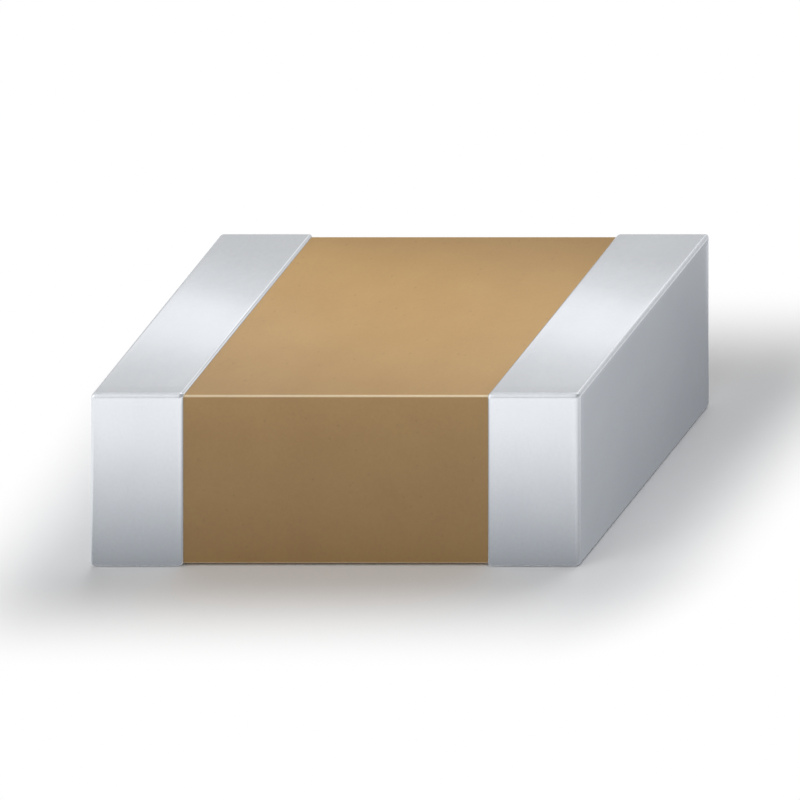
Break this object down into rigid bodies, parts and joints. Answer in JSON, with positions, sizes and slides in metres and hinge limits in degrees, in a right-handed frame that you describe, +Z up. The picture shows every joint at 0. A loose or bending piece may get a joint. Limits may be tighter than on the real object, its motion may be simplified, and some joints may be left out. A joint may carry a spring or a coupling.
{
  "type": "smd ceramic capacitor",
  "caption": "Surface-mount ceramic chip capacitor: a ceramic block with a metal termination wrapped over each end, for soldering flat onto a circuit board.",
  "frame": {"origin": "centre of the chip's footprint, in the plane that its terminations rest on", "axes": "+X along the chip from the left termination to the right one, +Y across it, +Z up from the board"},
  "size_m": [0.0032, 0.0016, 0.0011],
  "materials": {
    "ceramic": "sintered, tumbled, satin",
    "nickel_electrode": "printed and fired nickel, matte",
    "fired_copper": "dipped and fired copper, matte",
    "plated_nickel": "electroplated nickel, satin",
    "plated_tin": "electroplated matte tin, satin"
  },
  "bodies": {
    "root": {"ceramic_body": "ceramic", "electrode_01": "nickel_electrode", "electrode_02": "nickel_electrode", "electrode_03": "nickel_electrode", "electrode_04": "nickel_electrode", "electrode_05": "nickel_electrode", "electrode_06": "nickel_electrode", "electrode_07": "nickel_electrode", "electrode_08": "nickel_electrode", "electrode_09": "nickel_electrode", "electrode_10": "nickel_electrode", "electrode_11": "nickel_electrode", "electrode_12": "nickel_electrode", "electrode_13": "nickel_electrode", "electrode_14": "nickel_electrode", "electrode_15": "nickel_electrode", "electrode_16": "nickel_electrode", "electrode_17": "nickel_electrode", "electrode_18": "nickel_electrode", "electrode_19": "nickel_electrode", "electrode_20": "nickel_electrode", "electrode_21": "nickel_electrode", "electrode_22": "nickel_electrode", "electrode_23": "nickel_electrode", "electrode_24": "nickel_electrode", "copper_termination_left": "fired_copper", "copper_termination_right": "fired_copper", "nickel_barrier_left": "plated_nickel", "nickel_barrier_right": "plated_nickel", "tin_plating_left": "plated_tin", "tin_plating_right": "plated_tin"}
  },
  "joints": []
}
